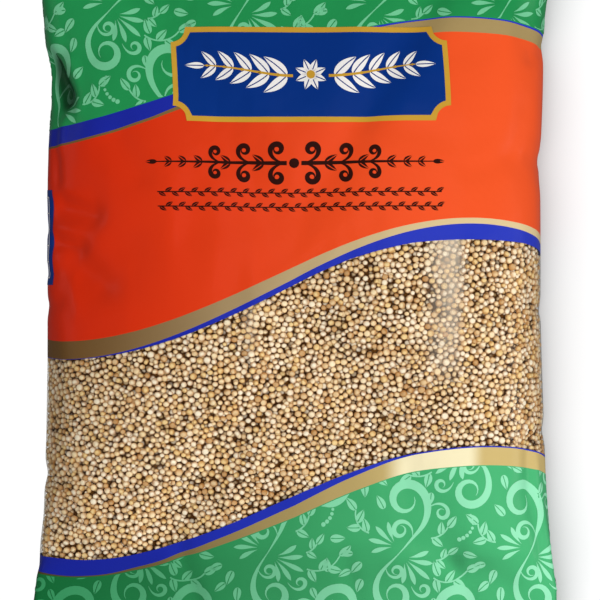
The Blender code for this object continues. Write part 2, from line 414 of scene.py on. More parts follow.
FIELDS = [
    ("green", 62), ("blue", 4), ("top_gold", 4), ("orange", 52), ("gold", 5), ("blue", 4),
    ("window", 58), ("blue", 4), ("low_gold", 5), ("low_green", 34),
]
BODY_FIELDS = [name for name, count in FIELDS for _ in range(count)]
FILM_COLUMNS = 300
CRIMP_ROWS = 27
CRIMP_PITCH = 1.6 * MM
CRIMP_DEPTH = 0.22 * MM
ZIGZAG = 0.45 * MM


def film_rows(s):
    """Heights of all rows of the film at places s, from the top seal's cut edge down."""
    rows = [np.full_like(s, HALF_LENGTH - SEAL_DEPTH * i / CRIMP_ROWS) for i in range(CRIMP_ROWS)]
    lines = [np.full_like(s, HALF_BODY)] + stripe_lines(s) + [np.full_like(s, -HALF_BODY)]
    for (_, count), high, low in zip(FIELDS, lines, lines[1:]):
        rows += [high + (low - high) * i / count for i in range(count)]
    rows += [np.full_like(s, -HALF_BODY - SEAL_DEPTH * i / CRIMP_ROWS) for i in range(CRIMP_ROWS + 1)]
    return np.array(rows).T


def note_depth_for_fold_shade(piece, places, heights):
    """Gives a piece's points the depth of their crease, so that painted shade can darken its ink in a fold.
    """
    give_values(piece, "pressed", pressed_in(places, heights))


def print_fields(sheet, row, fields, slots):
    """Gives each face of a sheet the material slot of the field that its row is in."""
    face_row = row[values_of(sheet.data.loops, "vertex_index")].reshape(-1, 4).min(1)
    slot_of_row = np.array([slots.index(field) for field in fields])
    sheet.data.polygons.foreach_set("material_index", slot_of_row[face_row])


def build_film():
    row_fields = ["green"] * CRIMP_ROWS + BODY_FIELDS + ["low_green"] * CRIMP_ROWS
    sheet, column, row = flat_sheet("film_bag", FILM_COLUMNS, len(row_fields))
    row = len(row_fields) - row
    steps = np.arange(FILM_COLUMNS + 1)
    places = round_the_bag(FILM_COLUMNS)
    heights = film_rows(places)
    points = on_film(places[:, None], heights)
    out = np.maximum(0, np.abs(heights) - HALF_BODY)
    points[:, :, 2] += CRIMP_DEPTH * np.sin(2 * pi * out / CRIMP_PITCH) * np.minimum(1, out / CRIMP_PITCH)
    on_back = np.abs(places) > HALF_FLAT
    mirrored = np.where(places > 0, 3 * FILM_COLUMNS // 2, FILM_COLUMNS // 2) - steps
    for end in (0, -1):
        points[:, end, 1] -= np.sign(points[0, end, 1]) * ZIGZAG * np.abs(steps % 4 - 2)
        points[on_back, end] = points[mirrored[on_back] % FILM_COLUMNS, end]
    set_points(sheet, points[column, row])
    note_depth_for_fold_shade(sheet, places[column], heights[column, row])
    names = sorted(set(row_fields))
    print_fields(sheet, row, row_fields, names)
    sheet.data.polygons.foreach_set("use_smooth", np.ones(len(sheet.data.polygons), bool))
    weld(sheet)
    return sheet, names


film_bag, film_slots = build_film()


def build_seam():
    """The folded fin: a thin closed strip along the back, printed as the film beside it is."""
    wide = np.linspace(-SEAM_HALF_WIDTH, SEAM_HALF_WIDTH, 12)
    ring = np.concatenate([wide, wide[::-1], wide[:1]])
    lift = np.concatenate([np.full(12, SEAM_THICKNESS), np.full(12, 0.03 * MM), [SEAM_THICKNESS]])
    heights = film_rows(SEAM_MIDDLE + ring)[:, CRIMP_ROWS:-CRIMP_ROWS]
    strip, column, row = flat_sheet("back_seam", len(ring) - 1, heights.shape[1] - 1)
    row = heights.shape[1] - 1 - row
    points = on_film((SEAM_MIDDLE + ring)[:, None], heights, np.broadcast_to(lift[:, None], heights.shape))
    set_points(strip, points[column, row])
    print_fields(strip, row, BODY_FIELDS, film_slots)
    weld(strip)
    edit_whole(strip, bpy.ops.mesh.fill_holes, sides=0)
    edit_whole(strip, bpy.ops.mesh.normals_make_consistent, inside=False)
    return strip


back_seam = build_seam()


def linear(r, g, b):
    """A colour as a shader needs it, from the 0 to 255 numbers that a colour picker shows."""
    shares = [c / 255 for c in (r, g, b)]
    return tuple(c / 12.92 if c <= 0.04045 else ((c + 0.055) / 1.055) ** 2.4 for c in shares) + (1.0,)


class Wire:
    """A socket of a material's nodes. Arithmetic on it adds Math nodes, and node() adds any other node."""

    def __init__(self, tree, socket=None):
        self.tree = tree
        self.socket = socket

    def node(self, kind, inputs=None, output=0, **settings):
        made = self.tree.nodes.new("ShaderNode" + kind)
        for name, value in settings.items():
            setattr(made, name, value)
        for name, value in (inputs or {}).items():
            if isinstance(value, Wire):
                self.tree.links.new(value.socket, made.inputs[name])
            else:
                made.inputs[name].default_value = value
        return Wire(self.tree, made.outputs[output])

    def math(self, operation, first, second):
        return self.node("Math", {0: first, 1: second}, operation=operation)

    def mixed(self, first, second):
        """Two colours mixed, this share of the second."""
        return self.node("Mix", {0: self, 6: first, 7: second}, 2, data_type="RGBA")

    def step(self, starts, ends):
        """A soft step from 0 where this is at starts to 1 where it is at ends."""
        return self.node("MapRange", {0: self, 1: starts, 2: ends}, interpolation_type="SMOOTHSTEP")

    def band(self, starts, full_from, full_to, ends):
        """1 between two values and 0 beyond two others, with soft steps between them."""
        return self.step(starts, full_from) * (1 - self.step(full_to, ends))

    def noise(self, scale, detail, roughness=0.5):
        """Soft noise over this place."""
        inputs = {"Vector": self, "Scale": scale, "Detail": detail, "Roughness": roughness}
        return self.node("TexNoise", inputs)

    def __add__(self, other):
        return self.math("ADD", self, other)

    def __radd__(self, other):
        return self.math("ADD", other, self)

    def __sub__(self, other):
        return self.math("SUBTRACT", self, other)

    def __rsub__(self, other):
        return self.math("SUBTRACT", other, self)

    def __mul__(self, other):
        return self.math("MULTIPLY", self, other)

    def __rmul__(self, other):
        return self.math("MULTIPLY", other, self)


def new_material(name):
    """An empty material, the place that it shades, and a function that sends a shader to its surface."""
    material = bpy.data.materials.new(name)
    material.use_nodes = True
    tree = material.node_tree
    tree.nodes.clear()
    surface = tree.nodes.new("ShaderNodeOutputMaterial").inputs["Surface"]
    place = Wire(tree).node("TexCoord", output=3)
    return material, place, lambda shader: tree.links.new(shader.socket, surface)


# Printed film is reverse-printed polypropylene: smooth, glossy ink under a clear layer, with the grains
# inside pressing faint bumps into it, and a slightly uneven gloss where it has been handled.
GRAIN_SIZE = 1.75 * MM
PRINT_THROUGH = 0.12 * MM


def film_relief(place, strength):
    """A normal with the faint print-through of the grains and the soft waviness of stretched film."""
    height = place.noise(60, 1.0) * 6.0 + place.noise(1 / GRAIN_SIZE, 0.0)
    return place.node("Bump", {"Strength": strength, "Distance": PRINT_THROUGH, "Height": height})


# Where the low gold's painted highlight starts, is full and ends across the pack: lighter ink for a sheen.
PAINTED_SHEEN_BAND = (24 * MM, 31 * MM, 48 * MM, 53 * MM)
FOLD_SHADE_FROM, FOLD_SHADE_TO, FOLD_SHADE_SHARE = 1.2, 3.3, 0.8


def printed_film(name, ink, shade, right=None, painted_sheen=None):
    """Ink of one colour, drifting a little towards its shade over a few centimetres, with painted shade
    darkening it down in a fold. Where right is given, the ink passes to that colour towards the right of the
    pack, partly as a printed blend and partly as painted light. Where painted_sheen is given, a painted
    highlight lightens it to that colour in a band on its way."""
    material, place, to_surface = new_material(name)
    colour = (place.noise(26, 3.0, 0.55) * 1.6 - 0.3).mixed(linear(*ink), linear(*shade))
    across = place.node("SeparateXYZ", {0: place})
    # Partly a printed blend and partly painted light: the ink lightens towards the right, where the key light
    # is.
    if right:
        colour = across.step(-1.05 * HALF_FLAT, 1.05 * HALF_FLAT).mixed(colour, linear(*right))
    # Painted highlight: a band of lighter ink standing in for the film's sheen.
    if painted_sheen:
        colour = across.band(*PAINTED_SHEEN_BAND).mixed(colour, linear(*painted_sheen))
    pressed = place.node("Attribute", output=2, attribute_name="pressed")
    # Painted shade: down in a deep crease the ink is mixed towards black, standing in for the fold's shadow.
    colour = (pressed.step(FOLD_SHADE_FROM, FOLD_SHADE_TO) * FOLD_SHADE_SHARE).mixed(colour, linear(0, 0, 0))
    to_surface(place.node("BsdfPrincipled", {
        "Base Color": colour, "Roughness": place.noise(140, 4.0) * 0.16 + 0.28, "Specular IOR Level": 0.2,
        "Coat Weight": 0.08, "Coat Roughness": 0.14, "Normal": film_relief(place, 0.3)}))
    return material


# Painted reflections in the window: where each starts, is strongest and ends across the pack, and its
# strength.
PAINTED_REFLECTION_BANDS = ((34.0 * MM, 44.0 * MM, 48.2 * MM, 0.35), (-15.6 * MM, -12.0 * MM, -9.0 * MM, 0.12))
PAINTED_REFLECTION_ENDS = (-38 * MM, -14 * MM)


def clear_film(name):
    """Clear film over the grains: see-through, with a thin film's gloss, milky in faint scuffs, and with
    painted reflections along creases that run lengthways. Each is a milky band that fades in from its left,
    is strongest beside the crease, and ends just past it."""
    material, place, to_surface = new_material(name)
    relief = film_relief(place, 0.35)
    clear = place.node("BsdfTransparent", {"Color": linear(252, 250, 246)})
    gloss = place.node("BsdfPrincipled", {
        "Base Color": linear(250, 250, 250), "Metallic": 1.0, "Roughness": 0.16, "Normal": relief})
    film = place.node("MixShader", {0: place.node("Fresnel", {"IOR": 1.4}) * 0.6, 1: clear, 2: gloss})
    milky_scuffs_and_reflection = place.node("BsdfPrincipled", {
        "Base Color": linear(255, 240, 216), "Roughness": 0.4, "Normal": relief})
    scuff = place.noise(90, 5.0)
    across = place.node("SeparateXYZ", {0: place})
    upper = place.node("SeparateXYZ", {0: place}, 1).step(*PAINTED_REFLECTION_ENDS)
    scuffs_and_painted_reflection = (scuff - 0.58) * 0.12
    # The scuffs are the film's own; the bands on top of them are painted reflection.
    for starts, strongest, ends, strength in PAINTED_REFLECTION_BANDS:
        scuffs_and_painted_reflection = scuffs_and_painted_reflection + (scuff * 1.7 + 0.1) * strength * across.band(starts, strongest, strongest, ends) * upper
    to_surface(place.node("MixShader", {0: scuffs_and_painted_reflection, 1: film, 2: milky_scuffs_and_reflection}))
    return material


# The three golds are one gold ink in lit and shaded copies, the top gold darker as painted shade. The low
# green is darker than the green at the left and brightens to mint at the right. Each blend towards the right
# is partly print and partly painted light.
film_materials = {
    "green": printed_film("green_film", (34, 146, 80), (28, 134, 71)),
    "low_green": printed_film("low_green_film", (18, 106, 54), (14, 96, 46), (72, 180, 116)),
    "blue": printed_film("blue_film", (24, 37, 154), (18, 29, 138), (40, 56, 184)),
    "top_gold": printed_film("top_gold_film", (112, 84, 40), (104, 76, 34), (168, 144, 94)),
    "gold": printed_film("gold_film", (104, 70, 27), (95, 63, 23), (224, 200, 150)),
    "low_gold": printed_film("low_gold_film", (76, 62, 32), (68, 54, 27), (208, 182, 116), (240, 228, 186)),
    "orange": printed_film("orange_film", (208, 39, 3), (200, 35, 2), (240, 86, 36)),
    "window": clear_film("window_film"),
}
for slot in film_slots:
    film_bag.data.materials.append(film_materials[slot])
    back_seam.data.materials.append(film_materials[slot])
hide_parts("quinoa_bag")
for piece in (film_bag, back_seam):
    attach(piece, "root")

# The quinoa. Half a kilogram of grains fills the bag. Under the print they are one core, dark brown as
# painted shade in the gaps between grains, which has a relief of grains behind the clear window, with two
# layers of loose grains on it.
CORE_DEPTH = 2.5 * MM
CORE_MARGIN = 6 * MM
CORE_COLUMNS = 500
CORE_ROWS = 118
CORE_BUMP_RADIUS = 0.95 * MM
CORE_BUMP_HEIGHT = 0.7 * MM
GRAINS_FROM, GRAINS_TO = -92 * MM, 20 * MM
grain_dice = np.random.default_rng(500)


def grain_places(pitch, span):
    """Places and sizes of loosely packed grains behind the window, between -span and span round the bag."""
    row_step = pitch * 0.75**0.5
    places = []
    for number, y in enumerate(np.arange(GRAINS_FROM, GRAINS_TO, row_step)):
        for s in np.arange(-span, span, pitch) + (number % 2) * pitch / 2:
            places.append((s, y))
    places = np.array(places) + grain_dice.normal(0, 0.42, (len(places), 2)) * pitch
    behind = ((places[:, 1] > window_bottom(places[:, 0]) - 2 * MM)
              & (places[:, 1] < window_top(places[:, 0]) + 2 * MM) & (np.abs(places[:, 0]) < span))
    places = places[behind]
    return pushed_apart(places, grain_sizes(len(places)))


def grain_sizes(count):
    """Radii of grains: most are near 0.92 mm, and a few are small."""
    return np.clip(grain_dice.normal(0.92, 0.13, count), 0.58, 1.16) * MM


def neighbours(places):
    """A tree that finds the nearest of some places."""
    near = KDTree(len(places))
    for i, (s, y) in enumerate(places):
        near.insert((s, y, 0), i)
    near.balance()
    return near


def pushed_apart(places, sizes, rounds=9):
    """The places after grains that overlap have pushed each other away."""
    for _ in range(rounds):
        near = neighbours(places)
        push = np.zeros_like(places)
        for i, (s, y) in enumerate(places):
            for other, k, far in near.find_n((s, y, 0), 8):
                overlap = sizes[i] + sizes[k] - far
                if k != i and overlap > 0:
                    push[i] += (places[i] - other[:2]) / (far + 0.001 * MM) * overlap * 0.3
        places = places + push
    return places, sizes


def build_core():
    """The mass of grains: a closed body under the film, rough with grains where the window is."""
    core, column, row = flat_sheet("quinoa_core", CORE_COLUMNS, CORE_ROWS)
    places = round_the_bag(CORE_COLUMNS)
    high, low = window_top(places) + CORE_MARGIN, window_bottom(places) - CORE_MARGIN
    heights = low[:, None] + (high - low)[:, None] * np.arange(CORE_ROWS + 1) / CORE_ROWS
    grains, _ = grain_places(GRAIN_SIZE, ROUND / 2)
    near = neighbours(grains)
    far = np.array([[near.find((s, y, 0))[2] for y in line] for s, line in zip(places, heights)])
    far[-1] = far[0]
    rise = CORE_BUMP_HEIGHT * np.sqrt(np.clip(1 - (far / CORE_BUMP_RADIUS) ** 2, 0, 1))
    points = on_film(places[:, None], heights, rise - CORE_DEPTH)
    set_points(core, points[column, row])
    weld(core)
    edit_whole(core, bpy.ops.mesh.fill_holes, sides=0)
    return core


def core_material():
    material, place, to_surface = new_material("quinoa_core")
    patches = place.noise(500, 2.0)
    # Painted shade: the core is dark brown, for the shade seen in the gaps between the grains.
    to_surface(place.node("BsdfPrincipled", {
        "Base Color": (patches * 2.0 - 0.5).mixed(linear(72, 40, 10), linear(118, 76, 28)),
        "Roughness": 0.7, "Specular IOR Level": 0.15}))
    return material


core = build_core()
core.data.materials.append(core_material())
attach(core, "root")


def one_grain():
    """Points, corners and corner counts of a grain of radius 1: a flattened ball with one sunken face."""
    grain = added(bpy.ops.mesh.primitive_uv_sphere_add, segments=8, ring_count=6, radius=1)
    points = points_of(grain.data)
    ring = np.rint(6 * np.arccos(np.clip(points[:, 2], -1, 1)) / pi).astype(int)
    radii = np.array([0, 0.60, 0.92, 1.0, 0.92, 0.60, 0])
    heights = np.array([0.70, 0.68, 0.40, 0, -0.40, -0.62, -0.58])
    spread = np.hypot(points[:, 0], points[:, 1]) + 1e-9
    points[:, :2] *= (radii[ring] / spread)[:, None]
    points[:, 2] = heights[ring]
    corners = values_of(grain.data.loops, "vertex_index")
    totals = values_of(grain.data.polygons, "loop_total")
    bpy.data.objects.remove(grain)
    return points, corners, totals


GRAIN_POINTS, GRAIN_CORNERS, GRAIN_TOTALS = one_grain()


def grain_layer(pitch, span, first_depth, depth_spread):
    """A layer of grains under the film: their middles, their three axes and their sizes."""
    places, sizes = grain_places(pitch, span)
    count = len(places)
    normal = film_normal(places[:, 0], places[:, 1])
    across = unit(np.cross(normal, (0, 1, 0.001)))
    along = np.cross(normal, across)
    tilt = np.abs(grain_dice.normal(0, 0.55, count))
    on_edge = grain_dice.random(count) < 0.2
    tilt[on_edge] = grain_dice.uniform(0.9, 1.57, on_edge.sum())
    turn = grain_dice.uniform(0, 2 * pi, count)
    lean = across * np.cos(turn)[:, None] + along * np.sin(turn)[:, None]
    axis = normal * np.cos(tilt)[:, None] + lean * np.sin(tilt)[:, None]
    side = unit(np.cross(axis, along + 0.01))
    third = np.cross(axis, side)
    flatness = grain_dice.uniform(0.85, 1.15, count)
    reach = sizes * np.hypot(np.sin(tilt), 0.70 * flatness * np.cos(tilt))
    beyond = np.maximum(window_bottom(places[:, 0]) - places[:, 1], places[:, 1] - window_top(places[:, 0]))
    under_print = 0.35 * np.clip(beyond + 0.6 * MM, 0, 1 * MM)
    depth = reach + first_depth + depth_spread * grain_dice.random(count) ** 1.5 + under_print
    middles = on_film(places[:, 0], places[:, 1], -depth)
    slim = grain_dice.uniform(0.8, 1.0, count)
    axes = np.stack([side * sizes[:, None], third * (sizes * slim)[:, None],
                     axis * (sizes * flatness)[:, None]], 1)
    return middles, axes, normal, depth


def build_grains(name, middles, axes, normals, depths, material):
    """One piece with a copy of the grain at each place. Each grain has its own shade from 0 to 1. Each of
    its points has its side, from -1 facing the film to 1 facing inwards, and its depth in millimetres."""
    count, each = len(middles), len(GRAIN_POINTS)
    reaches = np.einsum("pk,nkc->npc", GRAIN_POINTS, axes)
    points = middles[:, None] + reaches
    inwards = -np.einsum("npc,nc->np", reaches, normals)
    side = inwards / np.abs(inwards).max(1, keepdims=True)
    sunk = (depths[:, None] + inwards) / MM
    corners = (np.arange(count)[:, None] * each + GRAIN_CORNERS).ravel()
    totals = np.tile(GRAIN_TOTALS, count)
    mesh = bpy.data.meshes.new(name)
    mesh.vertices.add(count * each)
    mesh.vertices.foreach_set("co", points.ravel())
    mesh.loops.add(len(corners))
    mesh.loops.foreach_set("vertex_index", corners)
    mesh.polygons.add(len(totals))
    mesh.polygons.foreach_set("loop_start", np.concatenate([[0], np.cumsum(totals)[:-1]]))
    mesh.polygons.foreach_set("use_smooth", np.ones(len(totals), bool))
    mesh.update(calc_edges=True)
    piece = linked(name, mesh)
    give_values(piece, "shade", np.repeat(grain_dice.random(count), each))
    # The side and depth feed the painted shade in the grain's material.
    give_values(piece, "side", side)
    give_values(piece, "sunk", sunk)
    mesh.materials.append(material)
    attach(piece, "root")
    return piece


WARM_SHADE_SKIN = (186, 120, 30)
DEEP_SHADE_SKIN = (66, 30, 0)
SIDE_SHADE_FROM, SIDE_SHADE_TO, SIDE_SHADE_SHARE = -1.0, -0.4, 0.64
DEEP_SHADE_FROM, DEEP_SHADE_TO, DEEP_SHADE_SHARE = 0.8, 1.8, 0.93


def grain_material(name, light, dark):
    """The dull skin of one kind of grain, each between its light and dark colour. Painted shade makes it
    warmer round its rim and down its sides away from the film, and dark deep down between the grains."""
    material, place, to_surface = new_material(name)
    shade, side, sunk = (place.node("Attribute", output=2, attribute_name=kind)
                         for kind in ("shade", "side", "sunk"))
    skin = (shade * 0.7 + place.noise(1400, 2.0) * 0.8 - 0.3).mixed(linear(*light), linear(*dark))
    # Painted shade: warmer down the sides that face away from the film, and dark deep in the bed.
    skin = (side.step(SIDE_SHADE_FROM, SIDE_SHADE_TO) * SIDE_SHADE_SHARE).mixed(skin, linear(*WARM_SHADE_SKIN))
    skin = (sunk.step(DEEP_SHADE_FROM, DEEP_SHADE_TO) * DEEP_SHADE_SHARE).mixed(skin, linear(*DEEP_SHADE_SKIN))
    to_surface(place.node("BsdfPrincipled", {
        "Base Color": skin, "Roughness": 0.6, "Specular IOR Level": 0.15}))
    return material


GRAIN_KINDS = [
    ("pale", 0.23, (255, 250, 232), (255, 245, 220)),
    ("cream", 0.23, (255, 246, 220), (253, 235, 198)),
    ("straw", 0.23, (254, 239, 203), (248, 224, 177)),
    ("golden", 0.16, (250, 228, 174), (242, 212, 152)),
    ("tan", 0.11, (240, 216, 174), (228, 198, 153)),
    ("russet", 0.04, (222, 188, 140), (198, 158, 110)),
]
layers = [
    grain_layer(1.86 * MM, ROUND / 2, 0.06 * MM, 0.7 * MM),
    grain_layer(1.74 * MM, HALF_FLAT + 3 * MM, 1.0 * MM, 0.5 * MM),
]
middles, axes, normals, depths = (np.concatenate(parts) for parts in zip(*layers))
kinds = grain_dice.choice(len(GRAIN_KINDS), len(middles), p=[share for _, share, _, _ in GRAIN_KINDS])
for number, (kind, _, light, dark) in enumerate(GRAIN_KINDS):
    chosen = kinds == number
    build_grains(kind + "_grains", middles[chosen], axes[chosen], normals[chosen], depths[chosen],
                 grain_material(kind + "_grain", light, dark))

# The scroll pattern on the green film, in pale green ink: curls with thick and thin strokes, fans of fronds,
# leaves with a split vein and rows of dots. It repeats one sprig, turned and mirrored, up to the stripes.
PRINT_LIFT = 0.09 * MM
SPRIG_STEP = (37.5 * MM, 30 * MM)


def bent_line(start, heading, length, first_turn, last_turn, steps=26):
    """Points along a line that turns at first_turn degrees a millimetre, changing evenly to last_turn."""
    t = (np.arange(steps) + 0.5) / steps
    gone = t * length
    turned = heading + gone * first_turn + gone * t * (last_turn - first_turn) / 2
    ways = np.stack([np.cos(np.radians(turned)), np.sin(np.radians(turned))], 1) * length / steps
    return np.concatenate([[start], start + np.cumsum(ways, axis=0)])


def left_of(line):
    """The direction to the left of a line, at each of its points."""
    way = unit(np.gradient(line, axis=0))
    return np.stack([-way[:, 1], way[:, 0]], 1)


def net(columns, rows):
    """The four corners of each face of a net of points that are in columns of rows + 1."""
    first = (np.arange(columns)[:, None] * (rows + 1) + np.arange(rows)).ravel()
    return np.stack([first, first + rows + 1, first + rows + 2, first + 1], 1)


def stroke(ink, line, widths):
    """Inks a stroke along a line, three points across, with its width in millimetres at each point."""
    aside = left_of(line) * (np.asarray(widths) / 2)[:, None]
    places = np.stack([line - aside, line, line + aside], 1).reshape(-1, 2)
    ink.append((places, net(len(line) - 1, 2)))


def curl(ink, start, heading, length, first_turn, last_turn, width):
    """A scroll that winds up: thin where it starts, thick where it rounds, with a blunt inner end."""
    line = bent_line(start, heading, length, first_turn, last_turn, 40)
    t = np.linspace(0, 1, len(line))
    swell = np.sin(pi * np.minimum(1, 1.04 * t) ** 1.25) ** 1.1
    stroke(ink, line, width * (0.12 + 0.88 * swell) * np.minimum(1, (1.02 - t) / 0.05))
    return line


def tear(ink, start, heading, length, turn, width):
    """One frond: a bent drop, pointed where it starts and round at its far end."""
    line = bent_line(start, heading, length, turn, turn, 12)
    t = np.linspace(0, 1, len(line))
    stroke(ink, line, width * np.sin(pi * np.clip(t, 0, 1) ** 1.7) ** 0.8 + 0.05)


def leaf(ink, start, heading, length, width, turn=3.0, vein=0.24, steps=12):
    """A leaf in two halves, with its vein left open between them."""
    line = bent_line(start, heading, length, turn, turn, steps)
    aside = left_of(line)
    t = np.linspace(0, 1, len(line))
    half = width / 2 * np.sin(pi * t**0.72) ** 0.9
    for hand in (-1, 1):
        inner = np.minimum(vein / 2, half)
        middle = line + hand * aside * ((half + inner) / 2)[:, None]
        stroke(ink, middle, np.maximum(half - inner, 0))


def dot(ink, place, size):
    angle = np.linspace(0, 2 * pi, 13)[:-1]
    rim = np.asarray(place) + size / 2 * np.stack([np.cos(angle), np.sin(angle)], 1)
    places = np.concatenate([rim, [place]])
    ink.append((places, np.array([[i, (i + 1) % 12, 12, 12] for i in range(12)])))


def along(line, share):
    """A point of a line and its heading in degrees there."""
    i = int(share * (len(line) - 2))
    step = line[i + 1] - line[i]
    return line[i], np.degrees(np.arctan2(step[1], step[0]))


def fan(ink, root, heading, count, spread, length, width):
    """A fan of fronds, the middle ones longest, that bend outwards."""
    for number in range(count):
        out = number - (count - 1) / 2
        way = heading + spread * out
        start = np.asarray(root) + 1.6 * np.array([np.cos(np.radians(way)), np.sin(np.radians(way))])
        tear(ink, start, way, length * (1 - 0.13 * abs(out)), 2.2 * out, width)


def twig(ink, start, heading, length, turn, leaves, size):
    """A thin stem with leaves to either side in turn, and one at its tip."""
    stem = bent_line(start, heading, length, turn, turn, 14)
    stroke(ink, stem, np.full(15, 0.45))
    for number in range(leaves):
        place, way = along(stem, 0.15 + 0.8 * number / leaves)
        side = 1 if number % 2 else -1
        leaf(ink, place, way + side * 54, size * 0.92, size / 2, -side * 2)
    leaf(ink, stem[-1], way + 10, size, size * 0.52)


# A sprig's twigs (where each starts, its heading, length, bend, leaves and leaf size) and single leaves
# (where each starts, its heading, length and width), in millimetres and degrees.
TWIGS = (
    ((10.5, -6.0), -30, 11, 8, 3, 4.6), ((-9.5, 4.5), 172, 8, -11, 3, 4.4),
    ((8.5, 5.0), 12, 6, 10, 2, 4.2), ((10.8, -1.2), 8, 4.0, 12, 2, 3.6),
)
LEAVES = (
    ((-10.5, -4.0), 235, 4.6, 2.4), ((-13.2, -1.8), 190, 4.2, 2.2), ((-6.0, 11.5), 120, 4.4, 2.3),
    ((18.0, 2.0), -12, 4.4, 2.3), ((4.5, 24.0), 70, 4.4, 2.3), ((11.2, -11.8), 280, 3.8, 2.0),
    ((-9.6, -9.2), 252, 4.4, 2.3), ((-13.0, -7.4), 205, 4.0, 2.1),
)


def sprig():
    """One repeat of the pattern, about its root, in millimetres."""
    ink = []
    up = curl(ink, (0, 0), 52, 43, -1.0, 21, 2.6)
    down = curl(ink, (0, 0), 232, 37, -1.0, 25, 2.3)
    for line, share, bend, *shape in (
            (up, 0.14, 35, 18, 8, 44, 1.4), (down, 0.16, 38, 14, 12, 56, 1.2),
            (up, 0.36, -48, 15, -6, -54, 1.2)):
        place, way = along(line, share)
        curl(ink, place, way + bend, *shape)
    fan(ink, (1.2, -1.4), -32, 5, 21, 8.2, 1.35)
    fan(ink, (-1.2, 1.6), 158, 4, 22, 7.2, 1.25)
    for shape in TWIGS:
        twig(ink, *shape)
    curl(ink, (4.6, -9.4), -62, 12, 6, 62, 1.2)
    for shape in LEAVES:
        leaf(ink, *shape)
    for number, place in enumerate(bent_line((16.5, 6.0), 25, 9, 8, 16, 7)):
        dot(ink, place, 1.3 - 0.1 * number)
    return ink


def turned(ink, middle, degrees=0, hand=1):
    """A copy of a motif turned and perhaps mirrored (hand -1) about its root, then moved, in metres."""
    c, s = np.cos(np.radians(degrees)), np.sin(np.radians(degrees))
    spin = np.array([[c, -s], [s, c]])
    return [((places * (hand, 1)) @ spin.T * MM + middle, faces if hand > 0 else faces[:, ::-1])
            for places, faces in ink]


def print_on_film(name, ink, material, low=None, high=None, lift=PRINT_LIFT):
    """Lays inked shapes on the film, cut off at the lines low and high, functions of the place round it."""
    places, faces, count = [], [], 0
    for shape_places, shape_faces in ink:
        places.append(shape_places)
        faces.append(shape_faces + count)
        count += len(shape_places)
    places, faces = np.concatenate(places), np.concatenate(faces)
    if low is not None:
        cut = np.clip(places[:, 1], low(places[:, 0]), high(places[:, 0]))
        gone = cut != places[:, 1]
        places = np.stack([places[:, 0], cut], 1)
        faces = faces[~gone[faces].all(axis=1)]
    points = on_film(places[:, 0], places[:, 1], lift)
    mesh = bpy.data.meshes.new(name)
    mesh.from_pydata(points.tolist(), [], [list(dict.fromkeys(face)) for face in faces.tolist()])
    piece = linked(name, mesh)
    note_depth_for_fold_shade(piece, places[:, 0], places[:, 1])
    mesh.validate()
    edit_whole(piece, bpy.ops.mesh.delete_loose)
    bpy.ops.object.shade_smooth()
    piece.data.materials.append(material)
    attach(piece, "root")
    return piece


def sprigs_over(low, high, first_place):
    """Sprigs in staggered rows over a field between two heights, mirrored in each second row."""
    ink = []
    columns = int(round(ROUND / SPRIG_STEP[0]))
    for row in range(int(np.ceil((high - low) / SPRIG_STEP[1])) + 1):
        hand = 1 if row % 2 else -1
        for column in range(columns):
            s = first_place - ROUND / 2 + (column + 0.5 * (row % 2)) * ROUND / columns
            lean = 7 if column % 2 else -7
            ink += turned(sprig(), np.array([s, low + row * SPRIG_STEP[1]]), lean, hand)
    return ink


# The low pattern ink is darker at the left and brightens towards the right, partly as print and partly as
# painted light.
pattern_ink = printed_film("pattern_ink", (118, 202, 152), (102, 188, 138))
low_pattern_ink = printed_film("low_pattern_ink", (54, 146, 92), (46, 136, 84), (150, 232, 186))
print_on_film("top_pattern", sprigs_over(40 * MM, 104 * MM, 4 * MM), pattern_ink,
              lambda s: stripe_lines(s)[0] + 0.2 * MM, lambda s: np.full_like(s, HALF_BODY - 0.5 * MM))
print_on_film("bottom_pattern", sprigs_over(-112 * MM, -52 * MM, 11 * MM), low_pattern_ink,
              lambda s: np.full_like(s, -HALF_BODY + 0.5 * MM), lambda s: stripe_lines(s)[8] - 0.2 * MM)

# The panel on the front is a dark blue ticket shape with scooped corners and a gold border. On it is a
# common branch ornament in white and gold. It is printed with the film, so it is flat ink on it.
PANEL_MIDDLE = (4.2 * MM, 51.9 * MM)
PANEL_HALF_WIDTH = 39.2
PANEL_HALF_HEIGHT = 13.3
PANEL_SCOOP = 4.2
PANEL_BORDER = 1.5


def ticket(inset):
    """A field with scooped corners, inset from the panel's edge: columns of small faces, in millimetres."""
    scoop = PANEL_SCOOP + inset
    reach = PANEL_HALF_WIDTH - inset
    corner = np.linspace(0, 1, 9)
    ends = reach - (scoop - inset) * corner
    straight = np.linspace(-reach + scoop, reach - scoop, 78)
    columns = np.unique(np.concatenate([-ends, straight, ends]).round(4))
    from_end = PANEL_HALF_WIDTH - np.abs(columns)
    half = PANEL_HALF_HEIGHT - np.sqrt(np.clip(scoop**2 - from_end**2, 0, None))
    half = np.minimum(half, PANEL_HALF_HEIGHT - inset)
    rows = np.linspace(-1, 1, 27)
    places = np.stack([np.repeat(columns, 27), (half[:, None] * rows).ravel()], 1)
    return [(places, net(len(columns) - 1, 26))]


